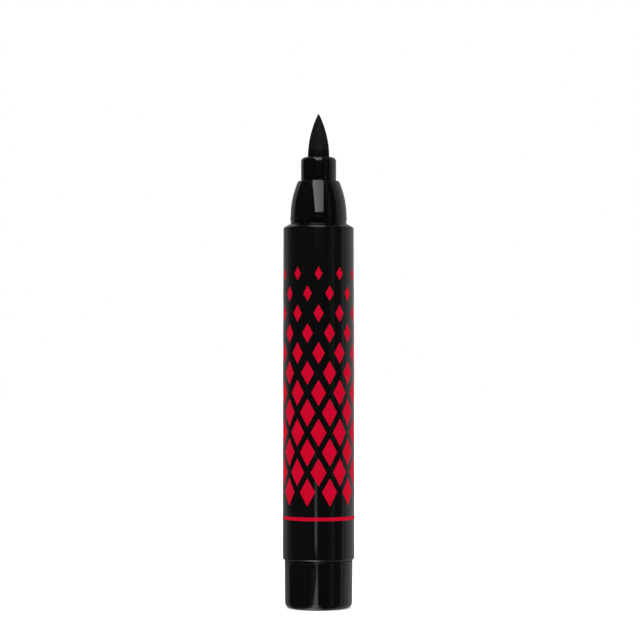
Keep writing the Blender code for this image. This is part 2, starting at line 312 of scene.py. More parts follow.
FELT_BLACKS = (0.001, 0.001, 0.0012), (0.0108, 0.0106, 0.0110)
inked_felt = inked_fibres("inked felt", *FELT_BLACKS, 0.72, 6000.0, 0.22)
inked_rod = inked_fibres("inked fibre", (0.006, 0.006, 0.007), (0.05, 0.05, 0.055), 0.95, 4000.0)

# %% Film and tube
def extruded(name, colour, roughness):
    """Milky extruded plastic with faint lines along it."""
    material, tree = new_finish(name, IOR=1.5)
    lines = noise(tree, 4000.0, 40.0, 1.0)
    shade = tuple(0.9 * part for part in colour)
    milk = blend(spread(lines), colour, shade)
    return dress(material, milk, spread(lines, roughness, 1.3 * roughness), lines, 0.000004)


wrap_film = extruded("wrap film", (0.70, 0.72, 0.74), 0.22)
tube_plastic = extruded("tube plastic", (0.82, 0.83, 0.82), 0.35)
print("inside:", [m.name for m in (inked_felt, inked_rod, wrap_film, tube_plastic)])

# %% [markdown]
# ## One recipe for every turned piece
#
# A moulded pen is round, so each piece is an outline turned about the pen's axis. The Screw
# modifier would do, but the outline would need every little arc drawn in it. This tree takes
# bare corners instead, each with the radius of its rounding: it fillets the outline as a
# toolmaker rounds a mould, then sweeps it round a small circle. All the turned pieces share it.

# %% The last steps of each recipe
def close_tree(shape, inputs):
    """Smooth faces, crisp edges, real geometry and a material end every tree."""
    smooth = geo("SetShadeSmooth", {"Geometry": shape, "Shade Smooth": True})
    angle = ask(shape.id_data, "MeshEdgeAngle")
    sharp = sum_of("GREATER_THAN", angle, inputs["Sharp Angle"])
    crisp = {"Geometry": smooth, "Selection": sharp, "Shade Smooth": False}
    edged = geo("SetShadeSmooth", crisp, domain="EDGE")
    real = geo("RealizeInstances", {"Geometry": edged})
    painted = geo("SetMaterial", {"Geometry": real, "Material": inputs["Material"]})
    follow("NodeGroupOutput", {0: painted})


# %% The turning tree
SPINE_RADIUS = 1.0 * MM
WELD_DISTANCE = 0.0002 * MM


def make_turning_tree():
    """Fillet an outline, sweep it round a circle, and weld the points that meet on the axis."""
    tree, inputs = new_tree("turned piece", {"Turn Steps": 192, "Round Steps": 8})
    outline = geo("MeshToCurve", {"Mesh": inputs["Geometry"]})
    rounding = add(tree, "GeometryNodeInputNamedAttribute", {"Name": "rounding"}, data_type="FLOAT")
    radius = rounding.outputs["Attribute"]
    fillet = {"Curve": outline, "Count": inputs["Round Steps"], "Radius": radius}
    filleted = geo("FilletCurve", fillet, mode="POLY")
    # A sweep hangs its outline upside down, so a half turn about X sets it upright.
    upright = {
        "Geometry": filleted,
        "Translation": (-SPINE_RADIUS, 0.0, 0.0),
        "Rotation": (math.pi, 0.0, 0.0),
    }
    standing = geo("Transform", upright)
    circle = {"Resolution": inputs["Turn Steps"], "Radius": SPINE_RADIUS}
    spine = geo("CurvePrimitiveCircle", circle, mode="RADIUS")
    level = geo("SetCurveNormal", {"Curve": spine}, mode="Z_UP")
    swept = geo("CurveToMesh", {"Curve": level, "Profile Curve": standing})
    close_tree(weld(swept, WELD_DISTANCE), inputs)
    return tree


turning_tree = make_turning_tree()
print("turning tree:", len(turning_tree.nodes), "nodes")

# %% Run a recipe and measure the result
def run_recipe(obj, tree, values):
    """Run the tree on the object with these inputs, and keep the result as a plain mesh."""
    modifier = obj.modifiers.new(tree.name, "NODES")
    modifier.node_group = tree
    names = {i.name: i.identifier for i in tree.interface.items_tree if i.in_out == "INPUT"}
    for label, value in values.items():
        modifier[names[label]] = value
    graph = bpy.context.evaluated_depsgraph_get()
    mesh = bpy.data.meshes.new_from_object(obj.evaluated_get(graph))
    obj.modifiers.clear()
    obj.data = mesh
    return obj


def measure(obj):
    """Turn the faces outwards if need be, and print the size and the edges left open."""
    shape = bmesh.new()
    shape.from_mesh(obj.data)
    if shape.calc_volume(signed=True) < 0.0:
        bmesh.ops.reverse_faces(shape, faces=shape.faces)
        shape.to_mesh(obj.data)
    volume = shape.calc_volume(signed=True) / MM ** 3
    open_edges = sum(len(edge.link_faces) != 2 for edge in shape.edges)
    print(f"{obj.name}: {len(shape.faces)} faces, {volume:.1f} mm3, {open_edges} open edges")
    shape.free()
    return obj


# %% [markdown]
# ### Hold the long walls straight
#
# Smooth shading blends the lean of neighbouring faces. A plain wall would borrow the lean of the
# little round at its end, and a reflection on it would bend. So each wall between two bends gets
# two extra corners, just past the rounds at its ends, and the blending stays inside them. The
# short sides of an arc are left alone, because there the blending is wanted.

# %% Extra corners on plain walls
HOLD, SHORT_WALL, LONG_WALL = 0.02, 0.1, 1.0
LEAST_BEND = math.radians(12.0)


def rounding_of(corner):
    """The radius that a corner is rounded with: its third number, or none."""
    return corner[2] if len(corner) > 2 else 0.0


def bend_at(before, corner, after):
    """How far the outline turns at a corner."""
    first = Vector(corner[:2]) - Vector(before[:2])
    second = Vector(after[:2]) - Vector(corner[:2])
    return first.angle(second)


def hold_walls(corners):
    """The corners, with two more on each plain wall."""
    count = len(corners)
    bends = [bend_at(corners[i - 1], corners[i], corners[(i + 1) % count]) for i in range(count)]
    reach = [rounding_of(corner) * math.tan(bend / 2) for corner, bend in zip(corners, bends)]
    held = []
    for i in range(count - 1):
        start, end = Vector(corners[i][:2]), Vector(corners[i + 1][:2])
        free = (end - start).length - reach[i] - reach[i + 1]
        held.append(corners[i])
        between_bends = min(bends[i], bends[i + 1]) > LEAST_BEND
        if free > LONG_WALL or (free > SHORT_WALL and between_bends):
            along = (end - start).normalized()
            held.append(tuple(start + along * (reach[i] + HOLD)))
            held.append(tuple(end - along * (reach[i + 1] + HOLD)))
    return [*held, corners[-1]]


# %% Draw an outline and turn it
def outline_mesh(name, corners):
    """An outline with radius across and height up. A corner is (radius, height, rounding).

    An outline that starts off the axis closes on itself."""
    corners = hold_walls(corners)
    steps = [(place, place + 1) for place in range(len(corners) - 1)]
    if corners[0][0] > 0.0:
        steps.append((len(corners) - 1, 0))
    mesh = bpy.data.meshes.new(name)
    mesh.from_pydata([(radius * MM, height * MM, 0.0) for radius, height, *_ in corners], steps, [])
    rounding = mesh.attributes.new("rounding", "FLOAT", "POINT")
    rounding.data.foreach_set("value", [MM * rounding_of(corner) for corner in corners])
    return mesh


def new_object(name, data):
    """An object that is in the scene."""
    obj = bpy.data.objects.new(name, data)
    bpy.context.scene.collection.objects.link(obj)
    return obj


def turned(name, corners, material, tree=None, inputs=None, turn_steps=192):
    """A measured solid turned about the pen's axis, from corners in millimetres.

    A second tree, with its inputs, then adds what isn't round."""
    obj = new_object(name, outline_mesh(name, corners))
    run_recipe(obj, turning_tree, {"Material": material, "Turn Steps": turn_steps})
    if tree:
        run_recipe(obj, tree, {"Material": material, **inputs})
    return measure(obj)


def arc(centre, radius, start, end, steps, stretch=1.0):
    """Corners along an arc, from start to end in degrees. 0 points outwards, and 90 up."""
    angles = [math.radians(start + (end - start) * step / steps) for step in range(steps + 1)]
    return [
        (centre[0] + radius * math.cos(angle), centre[1] + stretch * radius * math.sin(angle))
        for angle in angles
    ]


def span(node):
    """A CAD node's lowest and highest point and its radius, in millimetres."""
    low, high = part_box(node)
    return low.z / MM, high.z / MM, high.x / MM


# %% [markdown]
# ## Features that repeat round the axis
#
# Slots, ribs and webs sit at even angles. Each is one block, copied on points round the axis
# and then cut from the turned piece or joined to it with a Boolean node. Narrow grooves are made
# another way: the points of one wall are pushed in or out where they fall inside a groove, which
# keeps the clean rows of the turned mesh.

# %% Blocks round the axis
def make_block_tree(operation):
    """Copies of a block, turned step by step about the axis, then cut away or joined."""
    sizes = {
        "Count": 4,
        "Block Size": (MM, MM, MM),
        "Distance": 0.0,
        "Height": 0.0,
        "First Angle": 0.0,
        "Step Angle": math.pi / 2,
    }
    tree, inputs = new_tree("blocks " + operation.lower(), sizes)
    stepped = times(ask(tree, "Index"), inputs["Step Angle"])
    angle = plus(stepped, inputs["First Angle"])
    spot = round_axis(angle, inputs["Distance"], inputs["Height"])
    points = geo("Points", {"Count": inputs["Count"], "Position": spot})
    block = geo("MeshCube", {"Size": inputs["Block Size"]})
    copies = {"Points": points, "Instance": block, "Rotation": xyz(0.0, 0.0, angle)}
    blocks = geo("InstanceOnPoints", copies)
    joined = add(tree, "GeometryNodeMeshBoolean", operation=operation, solver="EXACT")
    piece_socket = joined.inputs["Mesh 2" if operation == "UNION" else "Mesh 1"]
    tree.links.new(inputs["Geometry"], piece_socket)
    tree.links.new(blocks, joined.inputs["Mesh 2"])
    close_tree(joined.outputs[0], inputs)
    return tree


cutting_tree = make_block_tree("DIFFERENCE")
joining_tree = make_block_tree("UNION")
print("block trees:", cutting_tree.name, "and", joining_tree.name)

# %% Grooves in a turned wall
def make_groove_tree():
    """Push the points of one wall outwards by a depth, inside evenly spaced grooves."""
    sizes = {
        "Count": 4,
        "Half Width": 0.3 * MM,
        "Depth": 0.4 * MM,
        "Least Radius": 0.0,
        "Most Radius": MM,
    }
    tree, inputs = new_tree("grooves", sizes)
    parts = parts_of(ask(tree, "Position"))
    flat = xyz(parts["X"], parts["Y"])
    radius = follow("ShaderNodeVectorMath", {0: flat}, operation="LENGTH").outputs["Value"]
    angle = sum_of("ARCTAN2", parts["Y"], parts["X"])
    sector = sum_of("DIVIDE", math.tau, inputs["Count"])
    nearest = sum_of("ROUND", sum_of("DIVIDE", angle, sector))
    off_groove = minus(angle, times(sector, nearest))
    side = sum_of("ABSOLUTE", times(radius, sum_of("SINE", off_groove)))
    inside = sum_of("LESS_THAN", side, inputs["Half Width"])
    above = sum_of("GREATER_THAN", radius, inputs["Least Radius"])
    below = sum_of("LESS_THAN", radius, inputs["Most Radius"])
    chosen = times(inside, times(above, below))
    outwards = out_of("ShaderNodeVectorMath", {0: flat}, operation="NORMALIZE")
    close_tree(shift(inputs["Geometry"], chosen, outwards, inputs["Depth"]), inputs)
    return tree


groove_tree = make_groove_tree()
print("groove tree:", len(groove_tree.nodes), "nodes")

# %% [markdown]
# ## The tail plug
#
# The pen stands on this stopper. It is stepped in from the barrel and has a generous round at
# its foot, a dimple with the stub of the moulding gate under it, and above its rim a hollow
# spigot with two sealing ribs. A cross web inside keeps the spigot round. On the real pen the
# barrel sits right on the rim, so the rim is drawn up to a hair's breadth under the barrel.

# %% Turn the plug and set the web in it
SEAM = 0.05
FLOOR_TOP, SPIGOT_RADIUS, HOLLOW_RADIUS, SPIGOT_LEAD = 1.6, 5.6, 4.6, 0.4
SEAL_HEIGHTS, SEAL_REACH, SEAL_HALF, CREST_HALF = (14.16, 11.6), 0.2, 0.35, 0.15
TAPER, FOOT_ROUND, DIMPLE_DEPTH, GATE_DEPTH = 0.1, 1.1, 0.22, 0.1
WEB_WIDTH, WEB_THICKNESS, WEB_FOOT = 9.5, 0.9, 1.2
plug_foot, spigot_top, rim_radius = span("tail_plug")
barrel_foot, barrel_mouth, barrel_radius = span("barrel")
rim_top = barrel_foot - SEAM


def seal_rib(height):
    """A rounded rib round the spigot."""
    crest = SPIGOT_RADIUS + SEAL_REACH
    return [
        (SPIGOT_RADIUS, height + SEAL_HALF, 0.05),
        (crest, height + CREST_HALF, 0.12),
        (crest, height - CREST_HALF, 0.12),
        (SPIGOT_RADIUS, height - SEAL_HALF, 0.05),
    ]


plug_corners = [
    (0.0, FLOOR_TOP),
    (HOLLOW_RADIUS - TAPER, FLOOR_TOP, 0.3),
    (HOLLOW_RADIUS, spigot_top, 0.1),
    (SPIGOT_RADIUS - SPIGOT_LEAD, spigot_top, 0.1),
    (SPIGOT_RADIUS, spigot_top - SPIGOT_LEAD, 0.15),
    *seal_rib(SEAL_HEIGHTS[0]),
    *seal_rib(SEAL_HEIGHTS[1]),
    (SPIGOT_RADIUS, rim_top),
    (rim_radius, rim_top, 0.1),
    (rim_radius - TAPER, plug_foot, FOOT_ROUND),
    (1.4, plug_foot, 0.08),
    (1.25, plug_foot + DIMPLE_DEPTH, 0.08),
    (0.42, plug_foot + DIMPLE_DEPTH, 0.04),
    (0.36, plug_foot + GATE_DEPTH, 0.04),
    (0.0, plug_foot + GATE_DEPTH),
]
web_top = spigot_top - SPIGOT_LEAD
web = {
    "Count": 2,
    "Block Size": (WEB_WIDTH * MM, WEB_THICKNESS * MM, (web_top - WEB_FOOT) * MM),
    "Height": (web_top + WEB_FOOT) / 2 * MM,
}
tail_stopper = turned("tail_stopper", plug_corners, plug_gloss, joining_tree, web)

# %% [markdown]
# ## The barrel
#
# A long tube with a slight taper, thicker at the foot, as it has to leave its mould. The top has a
# narrow flat land, slopes down at 30 degrees and is rounded into the wall. Inside are a lip that
# holds the front section's snap ring and six thin ribs that keep the ink rod in the middle.

# %% Turn the barrel and set its ribs
SHOULDER_SLOPE = math.tan(math.radians(30.0))
MOUTH_RADIUS, NECK_RADIUS, SHOULDER_RADIUS = 5.105, 5.58, 7.0
LAND, SHOULDER_ROUND, BARREL_FOOT_ROUND, BORE_LEAD = 0.35, 0.3, 0.5, 0.3
BORE_FOOT_RADIUS, BORE_TOP_RADIUS, LIP_LENGTH = 5.915, 5.78, 2.5
RIB_CREST, RIB_ROOT, RIB_WIDTH, RIB_SETBACK = 5.305, 6.4, 0.8, 1.0
lip_underside = barrel_mouth - LIP_LENGTH
shoulder_height = barrel_mouth - (SHOULDER_RADIUS - NECK_RADIUS - LAND) * SHOULDER_SLOPE
barrel_corners = [
    (MOUTH_RADIUS, barrel_mouth),
    (NECK_RADIUS + LAND, barrel_mouth, 0.03),
    (SHOULDER_RADIUS, shoulder_height, SHOULDER_ROUND),
    (barrel_radius, barrel_foot, BARREL_FOOT_ROUND),
    (BORE_FOOT_RADIUS + BORE_LEAD, barrel_foot, 0.05),
    (BORE_FOOT_RADIUS, barrel_foot + BORE_LEAD, 0.1),
    (BORE_TOP_RADIUS, lip_underside),
    (MOUTH_RADIUS, lip_underside),
]
rod_foot, rod_top, rod_radius = span("reservoir_core")
rib_foot, rib_depth = rod_foot + RIB_SETBACK, RIB_ROOT - RIB_CREST
ribs = {
    "Count": 6,
    "Block Size": (rib_depth * MM, RIB_WIDTH * MM, (rod_top - rib_foot) * MM),
    "Distance": (RIB_CREST + rib_depth / 2) * MM,
    "Height": (rod_top + rib_foot) / 2 * MM,
    "First Angle": math.radians(30.0),
    "Step Angle": math.radians(60.0),
}
barrel_tube = turned("barrel_tube", barrel_corners, barrel_gloss, joining_tree, ribs)

# %% [markdown]
# ## The front section
#
# The dome is an arc that starts upright at the neck and leans in to a flat top. Under it are a
# plain band, the low bead that the cap snaps over, and a groove. The hidden half is a spigot
# with a snap ring and four slots at its end that let air past.

# %% Turn the front section and cut its slots
DOME_HEIGHT, DOME_TOP_RADIUS, DOME_STEPS = 6.95, 4.105, 24
BEAD_TOP_DROP, BEAD_FOOT_DROP, BEAD_SLOPE = 0.35, 0.75, 0.15
SKIRT_RADIUS, FRONT_BORE_RADIUS, GUIDE_RADIUS, GUIDE_LENGTH = 5.005, 4.205, 3.58, 3.0
SNAP_SETBACK, SNAP_REACH, SNAP_CREST, SNAP_HEIGHT, SKIRT_LEAD = 0.3, 0.336, (0.18, 0.405), 0.9, 0.2
SLOT_SIZE = (2.0 * MM, 1.4 * MM, 4.0 * MM)
skirt_end, dome_top, bead_radius = span("front_section")
dome_base, guide_end = dome_top - DOME_HEIGHT, dome_top - GUIDE_LENGTH
dome_inset = NECK_RADIUS - DOME_TOP_RADIUS
dome_curve = (DOME_HEIGHT ** 2 + dome_inset ** 2) / (2 * dome_inset)
dome_lean = math.degrees(math.asin(DOME_HEIGHT / dome_curve))
dome_arc = arc((NECK_RADIUS - dome_curve, dome_base), dome_curve, dome_lean, 0.0, DOME_STEPS)
snap_top, snap_radius = lip_underside - SNAP_SETBACK, SKIRT_RADIUS + SNAP_REACH
bead_top, bead_foot = dome_base - BEAD_TOP_DROP, dome_base - BEAD_FOOT_DROP
neck_seat = barrel_mouth + SEAM
front_corners = [
    (GUIDE_RADIUS, dome_top, 0.05),
    (*dome_arc[0], 0.22),
    *dome_arc[1:],
    (NECK_RADIUS, bead_top),
    (bead_radius, bead_top, 0.006),
    (bead_radius, bead_foot + BEAD_SLOPE, 0.03),
    (NECK_RADIUS, bead_foot),
    (NECK_RADIUS, neck_seat),
    (SKIRT_RADIUS, neck_seat),
    (SKIRT_RADIUS, snap_top),
    (snap_radius, snap_top - SNAP_CREST[0], 0.06),
    (snap_radius, snap_top - SNAP_CREST[1], 0.06),
    (SKIRT_RADIUS, snap_top - SNAP_HEIGHT),
    (SKIRT_RADIUS, skirt_end + SKIRT_LEAD),
    (SKIRT_RADIUS - SKIRT_LEAD, skirt_end),
    (FRONT_BORE_RADIUS, skirt_end),
    (FRONT_BORE_RADIUS, guide_end),
    (GUIDE_RADIUS, guide_end),
]
slots = {
    "Count": 4,
    "Block Size": SLOT_SIZE,
    "Distance": (FRONT_BORE_RADIUS + SKIRT_RADIUS) / 2 * MM,
    "Height": skirt_end * MM,
}
front_cone = turned("front_cone", front_corners, front_gloss, cutting_tree, slots)

# %% [markdown]
# ## The nib holder
#
# The collar shows above the dome. Its top edge has a round that is taller than it is wide, and
# four grooves run down its bore to let air in beside the nib. Below, out of sight, a flange
# stops it in the front section and a shank reaches down round the nib.

# %% Turn the holder and press in its air grooves
COLLAR_RADIUS, NIB_BORE_RADIUS, SHANK_RADIUS = 3.505, 2.175, 3.285
ROUND_REACH, ROUND_HEIGHT, ROUND_STEPS = 0.76, 0.8, 14
FLANGE_SETBACK, FLANGE_THICKNESS = 3.3, 1.0
GROOVE_HALF, GROOVE_DEPTH, BORE_BAND = 0.3, 0.45, 0.2
holder_end, collar_top, flange_radius = span("nib_holder")
nib_heel, nib_tip, nib_radius = span("nib")
flange_top = dome_top - FLANGE_SETBACK
round_centre = (COLLAR_RADIUS - ROUND_REACH, collar_top - ROUND_HEIGHT)
collar_corners = [
    (NIB_BORE_RADIUS, collar_top, 0.06),
    *arc(round_centre, ROUND_REACH, 90.0, 0.0, ROUND_STEPS, stretch=ROUND_HEIGHT / ROUND_REACH),
    (COLLAR_RADIUS, flange_top),
    (flange_radius, flange_top, 0.1),
    (flange_radius, flange_top - FLANGE_THICKNESS, 0.1),
    (SHANK_RADIUS, flange_top - FLANGE_THICKNESS),
    (SHANK_RADIUS, holder_end, 0.1),
    (NIB_BORE_RADIUS, holder_end, 0.1),
]
air_grooves = {
    "Count": 4,
    "Half Width": GROOVE_HALF * MM,
    "Depth": GROOVE_DEPTH * MM,
    "Most Radius": (NIB_BORE_RADIUS + BORE_BAND) * MM,
}
nib_collar = turned("nib_collar", collar_corners, collar_gloss, groove_tree, air_grooves)

# %% [markdown]
# ## The felt nib
#
# The point is ground to an ogive: an arc that leaves the rod upright and leans in, with a small
# ball at the very tip where the felt is worn. Felt is not smooth, so a recipe of its own lifts
# the surface along the fibres by a hundredth of a millimetre and sets a few hundred loose fibre
# ends on the point, with a fixed seed so that every run grows the same ones.

# %% The felt tree
STREAKS, STREAK_LEVEL = (5200.0, 5200.0, 500.0), 0.62
LEAST_LEAN, MOST_LEAN = (-0.5, -0.5, 0.6), (0.5, 0.5, 1.6)


def make_felt_tree():
    """Roughen a turned nib along its fibres, and plant short fibre ends above a height."""
    sizes = {
        "Roughness": 0.014 * MM,
        "Above": 0.0,
        "Fibres Per Area": 5.0 / MM ** 2,
        "Fibre Length": 0.16 * MM,
        "Fibre Width": 0.012 * MM,
        "Seed": 7,
    }
    tree, inputs = new_tree("felt", sizes)
    position = ask(tree, "Position")
    along = out_of("ShaderNodeVectorMath", {0: position, 1: STREAKS}, operation="MULTIPLY")
    streaks = out_of("ShaderNodeTexNoise", {"Vector": along, "Scale": 1.0, "Detail": 2.0})
    lift = times(minus(streaks, STREAK_LEVEL), inputs["Roughness"])
    up = sum_of("GREATER_THAN", parts_of(position)["Z"], inputs["Above"])
    normal = ask(tree, "Normal")
    rough = shift(inputs["Geometry"], up, normal, lift)
    density = inputs["Fibres Per Area"]
    planting = {"Mesh": rough, "Selection": up, "Density": density, "Seed": inputs["Seed"]}
    planted = follow("GeometryNodeDistributePointsOnFaces", planting)
    thin = {
        "Vertices": 3,
        "Radius Top": 0.0,
        "Radius Bottom": inputs["Fibre Width"],
        "Depth": inputs["Fibre Length"],
    }
    fibre = geo("MeshCone", thin)
    leaning = {0: LEAST_LEAN, 1: MOST_LEAN, "Seed": inputs["Seed"]}
    lean = out_of("FunctionNodeRandomValue", leaning, data_type="FLOAT_VECTOR")
    aim = {0: planted.outputs["Normal"], 1: lean}
    aimed = out_of("ShaderNodeVectorMath", aim, operation="ADD")
    turn = out_of("FunctionNodeAlignRotationToVector", {"Vector": aimed}, axis="Z")
    copies = {"Points": planted.outputs[0], "Instance": fibre, "Rotation": turn}
    fibres = geo("InstanceOnPoints", copies)
    close_tree(join(fibres, rough), inputs)
    return tree


felt_tree = make_felt_tree()
print("felt tree:", len(felt_tree.nodes), "nodes")

# %% Turn the nib and roughen its point
POINT_ROWS, TIP_ROWS, TIP_BALL = 72, 8, 0.16
HEEL_LENGTH, HEEL_SHARE, BARE_ROOT = 1.2, 0.7, 0.1
ball_height = nib_tip - TIP_BALL
climb = ball_height - collar_top
point_curve = (climb ** 2 + nib_radius ** 2 - TIP_BALL ** 2) / (2 * (nib_radius - TIP_BALL))
point_lean = math.degrees(math.asin(climb / (point_curve - TIP_BALL)))
point_arc = arc((nib_radius - point_curve, collar_top), point_curve, point_lean, 0.0, POINT_ROWS)
nib_corners = [
    (0.0, nib_tip),
    *arc((0.0, ball_height), TIP_BALL, 90.0, point_lean, TIP_ROWS)[1:],
    *point_arc[1:],
    (nib_radius, nib_heel + HEEL_LENGTH, 0.2),
    (HEEL_SHARE * nib_radius, nib_heel, 0.1),
    (0.0, nib_heel),
]
felt = {"Above": (collar_top + BARE_ROOT) * MM}
felt_nib = turned("felt_nib", nib_corners, inked_felt, felt_tree, felt)

# %% [markdown]
# ## Inside: ink rod, film wrap and air tube
#
# These three never show, but they make the pen what it is. The rod has a blind hole for the
# nib's heel and one groove along it, where the air tube lies inside the film.

# %% Turn the three inner pieces
HOLE_DEPTH, HOLE_ROOM, FILM_WALL = 9.0, 0.1, 0.15
ROD_GROOVE_HALF, ROD_GROOVE_DEPTH, ROD_BAND = 0.6, 1.1, (-0.2, 0.1)
_, _, film_radius = span("reservoir_film")
tube_low, tube_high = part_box("air_tube")
tube_radius = (tube_high.x - tube_low.x) / 2 / MM
tube_place = (tube_high.x + tube_low.x) / 2
hole_foot, hole_radius = rod_top - HOLE_DEPTH, nib_radius + HOLE_ROOM
rod_corners = [
    (0.0, hole_foot),
    (hole_radius, hole_foot),
    (hole_radius, rod_top),
    (rod_radius, rod_top, 0.15),
    (rod_radius, rod_foot, 0.15),
    (0.0, rod_foot),
]
rod_groove = {
    "Count": 1,
    "Half Width": ROD_GROOVE_HALF * MM,
    "Depth": -ROD_GROOVE_DEPTH * MM,
    "Least Radius": (rod_radius + ROD_BAND[0]) * MM,
    "Most Radius": (rod_radius + ROD_BAND[1]) * MM,
}
ink_rod = turned("ink_rod", rod_corners, inked_rod, groove_tree, rod_groove)


def sleeve(inner, outer, foot, top):
    """The corners of a plain tube."""
    return [(inner, top), (outer, top), (outer, foot), (inner, foot)]


film_corners = sleeve(film_radius - FILM_WALL, film_radius, rod_foot, rod_top)
film_wrap = turned("film_wrap", film_corners, wrap_film)
tube_corners = sleeve(tube_radius / 2, tube_radius, tube_low.z / MM, tube_high.z / MM)
breather_tube = turned("breather_tube", tube_corners, tube_plastic, turn_steps=32)
breather_tube.data.transform(Matrix.Translation((tube_place, 0.0, 0.0)))

# %% [markdown]
# ## The printed pattern
#
# The barrel is decorated with a plain harlequin of red diamonds that shrink towards the top, and
# a thin ring under them. A material could paint it, but real edges stay crisp at any distance.
# So the print is made as a printer makes it: laid out flat on a plate, then rolled on. Points
# in offset rows carry the diamonds, and a last step bends the flat plate round the barrel's
# taper. Each diamond is a closed film that stands 0.02 mm proud and starts just under the wall.

# %% One diamond, and the roll
STRIPS, POINT_WELD, FILM_WELD = 10, 0.001, 0.001 * MM


def diamond_slab(tree, thickness):
    """A flat diamond, one unit wide and high, cut into strips so that it can bend."""
    plate = {"Size X": 1.0, "Size Y": 1.0, "Vertices X": STRIPS + 1, "Vertices Y": 2}
    grid = add(tree, "GeometryNodeMeshGrid", plate).outputs[0]
    parts = parts_of(ask(tree, "Position"))
    off_centre = times(sum_of("ABSOLUTE", parts["X"]), 2.0)
    corner = xyz(parts["X"], times(parts["Y"], minus(1.0, off_centre)))
    shaped = geo("SetPosition", {"Geometry": grid, "Position": corner})
    flat = weld(shaped, POINT_WELD)
    raised = {"Mesh": flat, "Offset Scale": thickness, "Individual": False}
    top = geo("ExtrudeMesh", raised)
    underside = geo("FlipFaces", {"Mesh": flat})
    return weld(join(underside, top), FILM_WELD)


def roll(tree, inputs):
    """Where a point of the flat plate lands on the tapered wall."""
    parts = parts_of(ask(tree, "Position"))
    angle = sum_of("DIVIDE", parts["X"], inputs["Wall Radius"])
    drop = minus(inputs["Wall Height"], parts["Y"])
    slope = {0: drop, 1: inputs["Wall Taper"], 2: inputs["Wall Radius"]}
    wall = out_of("ShaderNodeMath", slope, operation="MULTIPLY_ADD")
    raised = minus(plus(wall, parts["Z"]), inputs["Ink Depth"])
    return round_axis(angle, raised, parts["Y"])


# %% The rolled print tree
def make_print_tree():
    """Diamonds in offset rows on a flat plate, rolled round a tapered wall."""
    sizes = {
        "Columns": 10,
        "Rows": 12,
        "First Height": 0.0,
        "Row Rise": MM,
        "Full Size Below": 0.0,
        "Last Height": MM,
        "Largest Share": 0.70,
        "Smallest Share": 0.34,
        "Ink Thickness": 0.03 * MM,
        "Ink Depth": 0.01 * MM,
        "Wall Radius": MM,
        "Wall Height": 0.0,
        "Wall Taper": 0.0,
    }
    tree, inputs = new_tree("rolled print", sizes)
    index = ask(tree, "Index")
    row = sum_of("FLOOR", sum_of("DIVIDE", plus(index, 0.5), inputs["Columns"]))
    column = minus(index, times(row, inputs["Columns"]))
    half_step = times(sum_of("MODULO", row, 2.0), 0.5)
    girth = times(inputs["Wall Radius"], math.tau)
    pitch = sum_of("DIVIDE", girth, inputs["Columns"])
    across = times(plus(column, half_step), pitch)
    height = plus(times(row, inputs["Row Rise"]), inputs["First Height"])
    count = times(inputs["Columns"], inputs["Rows"])
    spots = {"Count": count, "Position": xyz(across, height)}
    heights = (inputs["Full Size Below"], inputs["Last Height"])
    shares = (inputs["Largest Share"], inputs["Smallest Share"])
    share = rescale(height, heights, shares)
    tall = times(share, times(inputs["Row Rise"], 2.0))
    copies = {
        "Points": geo("Points", spots),
        "Instance": diamond_slab(tree, inputs["Ink Thickness"]),
        "Scale": xyz(times(share, pitch), tall, 1.0),
    }
    placed = geo("InstanceOnPoints", copies)
    plate = geo("RealizeInstances", {"Geometry": placed})
    rolled = {"Geometry": plate, "Position": roll(tree, inputs)}
    close_tree(geo("SetPosition", rolled), inputs)
    return tree


print_tree = make_print_tree()
print("print tree:", len(print_tree.nodes), "nodes")

# %% Roll the diamonds on, and turn the ring
PRINT_FOOT, ROW_RISE, PRINT_ROWS, FULL_SIZE_RISE = 19.3, 3.9, 12, 20.0
RING_FOOT, RING_TOP, INK_UNDER, INK_PROUD = 17.6, 18.3, -0.01, 0.02
first_row = PRINT_FOOT + ROW_RISE
last_row = first_row + ROW_RISE * (PRINT_ROWS - 1)
wall_taper = (barrel_radius - SHOULDER_RADIUS) / (shoulder_height - barrel_foot)
diamonds = new_object("printed_diamonds", bpy.data.meshes.new("printed_diamonds"))
layout = {
    "Rows": PRINT_ROWS,
    "First Height": first_row * MM,
    "Row Rise": ROW_RISE * MM,
    "Full Size Below": (PRINT_FOOT + FULL_SIZE_RISE) * MM,
    "Last Height": last_row * MM,
    "Wall Radius": SHOULDER_RADIUS * MM,
    "Wall Height": shoulder_height * MM,
    "Wall Taper": wall_taper,
    "Material": ink_red,
}
measure(run_recipe(diamonds, print_tree, layout))


def on_wall(height, proud):
    """A corner this far off the barrel's wall."""
    return (SHOULDER_RADIUS + (shoulder_height - height) * wall_taper + proud, height)


ring_corners = [
    on_wall(RING_TOP, INK_UNDER),
    on_wall(RING_TOP, INK_PROUD),
    on_wall(RING_FOOT, INK_PROUD),
    on_wall(RING_FOOT, INK_UNDER),
]
printed_ring = turned("printed_ring", ring_corners, ink_red)

# %% [markdown]
# ## Fasten each piece to the frame
#
# Each new piece stands for its CAD node, which is hidden but still does the collisions, and
# rides on the same body, so that the plug stays put when the rest of the pen is pulled off it.

# %% Ride and replace
dressing = [
    (tail_stopper, "tail", "tail_plug", "plug_plastic"),
    (barrel_tube, "pen", "barrel", "barrel_plastic"),
    (front_cone, "pen", "front_section", "front_plastic"),
    (nib_collar, "pen", "nib_holder", "holder_plastic"),
    (felt_nib, "pen", "nib", "nib_felt"),
    (ink_rod, "pen", "reservoir_core", "reservoir_fibre"),
    (film_wrap, "pen", "reservoir_film", "wrap_film"),
    (breather_tube, "pen", "air_tube", "tube_plastic"),
    (diamonds, "pen", None, "barrel_plastic"),
    (printed_ring, "pen", None, "barrel_plastic"),
]
for piece, body, node, slot in dressing:
    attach(piece, body)
    if node:
        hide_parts(node)
print("pieces:", [piece.name for piece, *_ in dressing])

